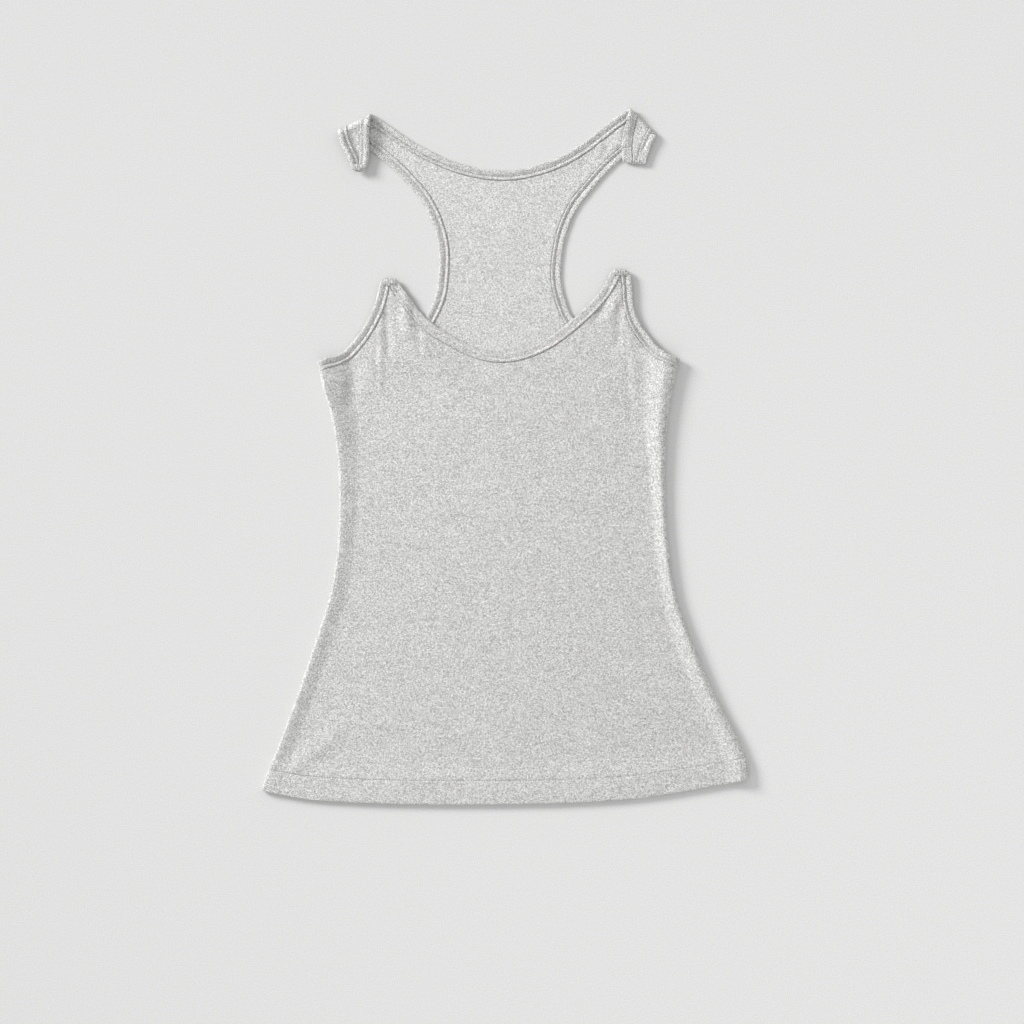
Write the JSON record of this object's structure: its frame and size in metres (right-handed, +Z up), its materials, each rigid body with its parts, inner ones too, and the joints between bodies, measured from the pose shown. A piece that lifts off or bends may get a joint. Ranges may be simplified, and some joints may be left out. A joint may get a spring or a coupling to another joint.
{
  "type": "racerback tank top",
  "caption": "Racerback tank top laid flat: front panel over back panel, bound neck and armholes, turned-up hem, and strap ends folded forward over themselves.",
  "frame": {"origin": "centre of the bounding box at the resting plane", "axes": "+X to the wearer's left (right side seen from above), +Y from hem to neck, +Z up out of the front"},
  "size_m": [0.4873, 0.6941, 0.0106],
  "materials": {
    "heather_jersey": "matt heather jersey",
    "heather_binding": "matt heather jersey, folded and stitched"
  },
  "bodies": {
    "root": {"front_panel": "heather_jersey", "back_panel": "heather_jersey", "front_neck_binding": "heather_binding", "back_neck_binding": "heather_binding", "armhole_binding_left": "heather_binding", "armhole_binding_right": "heather_binding"}
  },
  "joints": []
}
